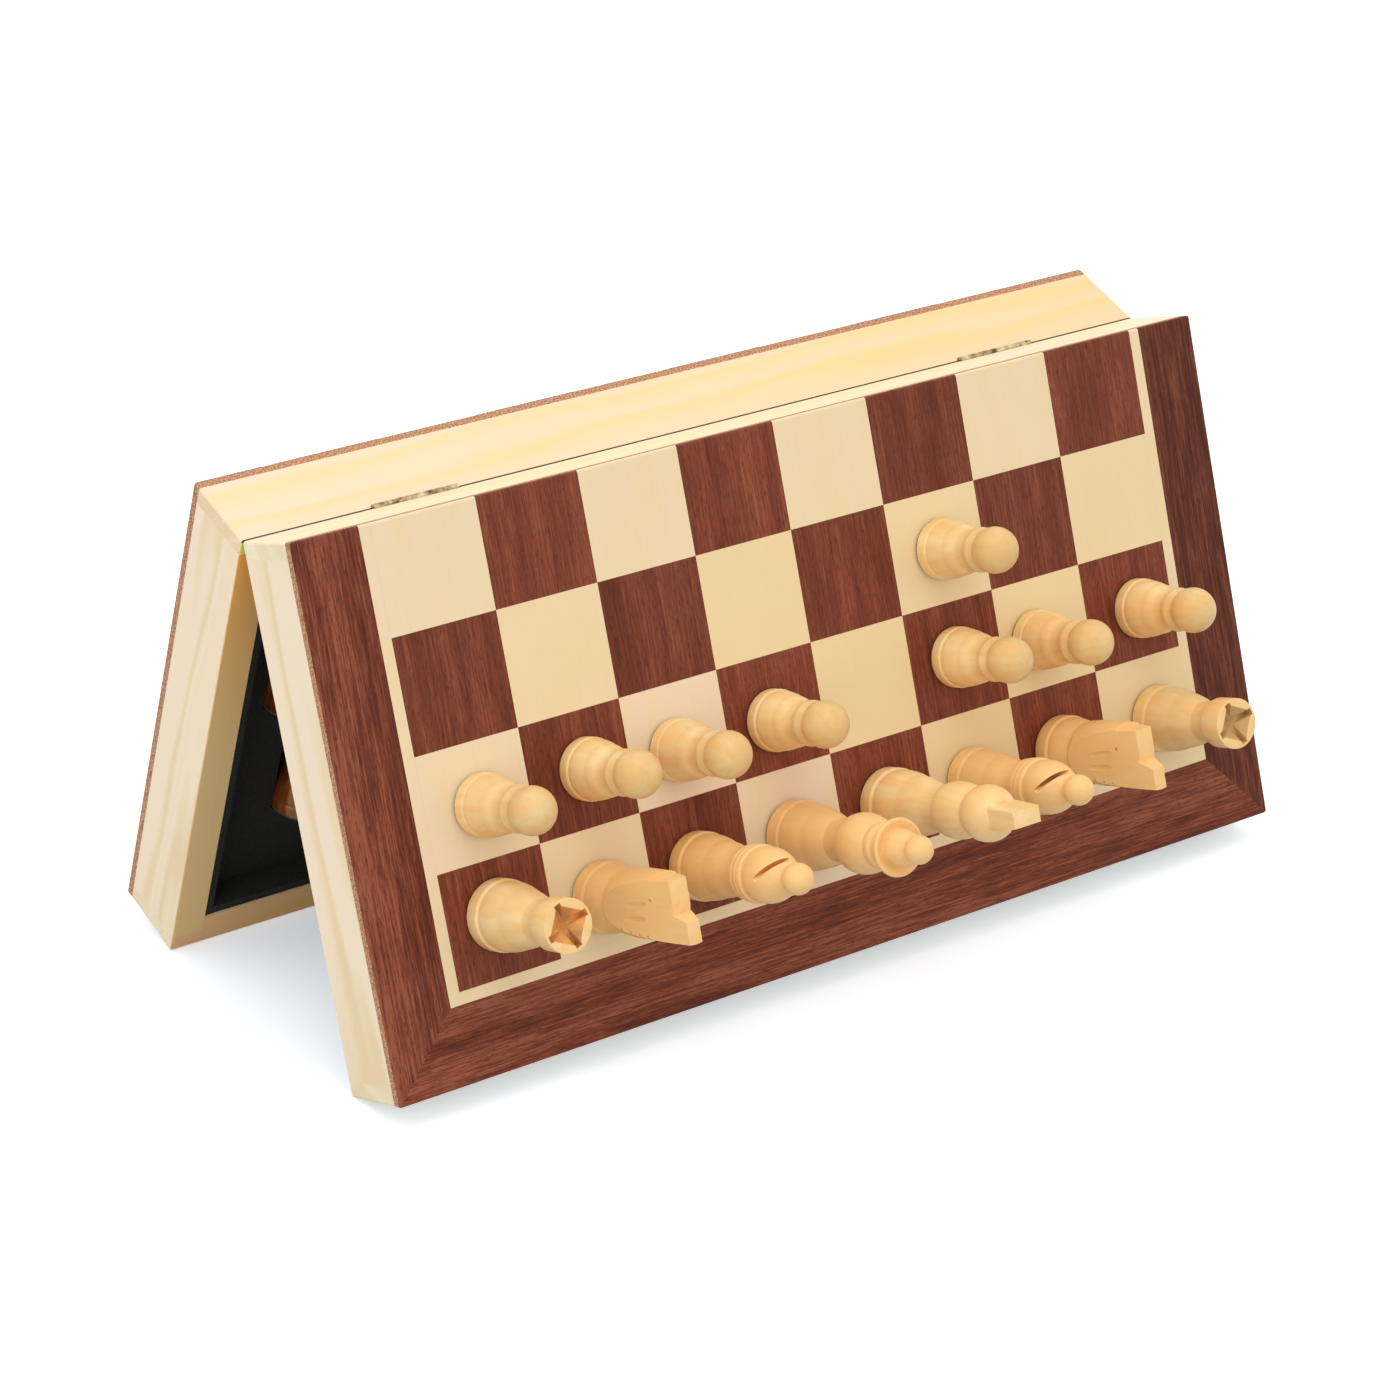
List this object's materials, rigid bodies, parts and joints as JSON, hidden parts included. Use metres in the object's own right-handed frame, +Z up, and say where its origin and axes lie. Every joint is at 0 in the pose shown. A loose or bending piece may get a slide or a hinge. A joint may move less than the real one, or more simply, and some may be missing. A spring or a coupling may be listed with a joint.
{
  "type": "folding magnetic chess set",
  "caption": "Folding wooden chess box with a checkered playing face on both halves, butt hinges, foam lining and magnetic chessmen, standing open as a tent.",
  "frame": {"origin": "on the ground at the middle of the object's outline as it stands in a tent", "axes": "+X along the hinge, -Y towards the raised half with the chessmen, +Z up"},
  "size_m": [0.3028, 0.192, 0.1494],
  "materials": {
    "pale_wood": "smooth lacquered pine",
    "core_board": "raw fibreboard",
    "dark_veneer": "satin lacquered veneer",
    "light_veneer": "satin lacquered veneer",
    "steel_sheet": "plain",
    "foam": "matt foam",
    "magnet": "plated",
    "hinge_brass": "satin",
    "felt": "felt",
    "boxwood": "satin lacquer",
    "dark_wood": "gloss lacquer"
  },
  "bodies": {
    "rear_half": {"rear_hinge_rail": "pale_wood", "rear_free_rail": "pale_wood", "rear_left_rail": "pale_wood", "rear_right_rail": "pale_wood", "rear_core_board": "core_board", "rear_dark_squares": "dark_veneer", "rear_light_squares": "light_veneer", "rear_stringing": "light_veneer", "rear_border": "dark_veneer", "rear_steel_sheet": "steel_sheet", "rear_foam": "foam", "rear_catch_magnets": "magnet", "rear_hinge_screws": "hinge_brass", "rear_left_leaf": "hinge_brass", "rear_right_leaf": "hinge_brass", "dark_pawns": "dark_wood", "dark_piece_magnets": "magnet", "dark_piece_felts": "felt", "dark_rooks": "dark_wood", "dark_knights": "dark_wood", "dark_bishops": "dark_wood", "dark_queen": "dark_wood", "dark_king": "dark_wood"},
    "front_half": {"front_hinge_rail": "pale_wood", "front_free_rail": "pale_wood", "front_left_rail": "pale_wood", "front_right_rail": "pale_wood", "front_core_board": "core_board", "front_dark_squares": "dark_veneer", "front_light_squares": "light_veneer", "front_stringing": "light_veneer", "front_border": "dark_veneer", "front_steel_sheet": "steel_sheet", "front_foam": "foam", "front_catch_magnets": "magnet", "front_hinge_screws": "hinge_brass", "front_left_leaf": "hinge_brass", "front_right_leaf": "hinge_brass", "left_hinge_pin": "hinge_brass", "right_hinge_pin": "hinge_brass"},
    "light_rook_a1": {"light_rook_a1": "boxwood"},
    "light_knight_b1": {"light_knight_b1": "boxwood"},
    "light_bishop_c1": {"light_bishop_c1": "boxwood"},
    "light_queen_d1": {"light_queen_d1": "boxwood"},
    "light_king_e1": {"light_king_e1": "boxwood"},
    "light_bishop_f1": {"light_bishop_f1": "boxwood"},
    "light_knight_g1": {"light_knight_g1": "boxwood"},
    "light_rook_h1": {"light_rook_h1": "boxwood"},
    "light_pawn_a2": {"light_pawn_a2": "boxwood"},
    "light_pawn_b2": {"light_pawn_b2": "boxwood"},
    "light_pawn_c2": {"light_pawn_c2": "boxwood"},
    "light_pawn_d2": {"light_pawn_d2": "boxwood"},
    "light_pawn_f3": {"light_pawn_f3": "boxwood"},
    "light_pawn_f2": {"light_pawn_f2": "boxwood"},
    "light_pawn_g2": {"light_pawn_g2": "boxwood"},
    "light_pawn_h2": {"light_pawn_h2": "boxwood"}
  },
  "joints": [
    {"name": "fold", "type": "hinge", "parent": "rear_half", "child": "front_half", "pos_m": [0, 0.02368, 0.14149], "axis": [-1, 0, 0], "range_deg": [-37.6, 142.4]},
    {"name": "lift_rook_a1", "type": "slide", "parent": "front_half", "child": "light_rook_a1", "axis": [0, -0.9466, 0.3223], "range_m": [0, 0.04]},
    {"name": "lift_knight_b1", "type": "slide", "parent": "front_half", "child": "light_knight_b1", "axis": [0, -0.9466, 0.3223], "range_m": [0, 0.04]},
    {"name": "lift_bishop_c1", "type": "slide", "parent": "front_half", "child": "light_bishop_c1", "axis": [0, -0.9466, 0.3223], "range_m": [0, 0.04]},
    {"name": "lift_queen_d1", "type": "slide", "parent": "front_half", "child": "light_queen_d1", "axis": [0, -0.9466, 0.3223], "range_m": [0, 0.04]},
    {"name": "lift_king_e1", "type": "slide", "parent": "front_half", "child": "light_king_e1", "axis": [0, -0.9466, 0.3223], "range_m": [0, 0.04]},
    {"name": "lift_bishop_f1", "type": "slide", "parent": "front_half", "child": "light_bishop_f1", "axis": [0, -0.9466, 0.3223], "range_m": [0, 0.04]},
    {"name": "lift_knight_g1", "type": "slide", "parent": "front_half", "child": "light_knight_g1", "axis": [0, -0.9466, 0.3223], "range_m": [0, 0.04]},
    {"name": "lift_rook_h1", "type": "slide", "parent": "front_half", "child": "light_rook_h1", "axis": [0, -0.9466, 0.3223], "range_m": [0, 0.04]},
    {"name": "lift_pawn_a2", "type": "slide", "parent": "front_half", "child": "light_pawn_a2", "axis": [0, -0.9466, 0.3223], "range_m": [0, 0.04]},
    {"name": "lift_pawn_b2", "type": "slide", "parent": "front_half", "child": "light_pawn_b2", "axis": [0, -0.9466, 0.3223], "range_m": [0, 0.04]},
    {"name": "lift_pawn_c2", "type": "slide", "parent": "front_half", "child": "light_pawn_c2", "axis": [0, -0.9466, 0.3223], "range_m": [0, 0.04]},
    {"name": "lift_pawn_d2", "type": "slide", "parent": "front_half", "child": "light_pawn_d2", "axis": [0, -0.9466, 0.3223], "range_m": [0, 0.04]},
    {"name": "lift_pawn_f3", "type": "slide", "parent": "front_half", "child": "light_pawn_f3", "axis": [0, -0.9466, 0.3223], "range_m": [0, 0.04]},
    {"name": "lift_pawn_f2", "type": "slide", "parent": "front_half", "child": "light_pawn_f2", "axis": [0, -0.9466, 0.3223], "range_m": [0, 0.04]},
    {"name": "lift_pawn_g2", "type": "slide", "parent": "front_half", "child": "light_pawn_g2", "axis": [0, -0.9466, 0.3223], "range_m": [0, 0.04]},
    {"name": "lift_pawn_h2", "type": "slide", "parent": "front_half", "child": "light_pawn_h2", "axis": [0, -0.9466, 0.3223], "range_m": [0, 0.04]}
  ]
}
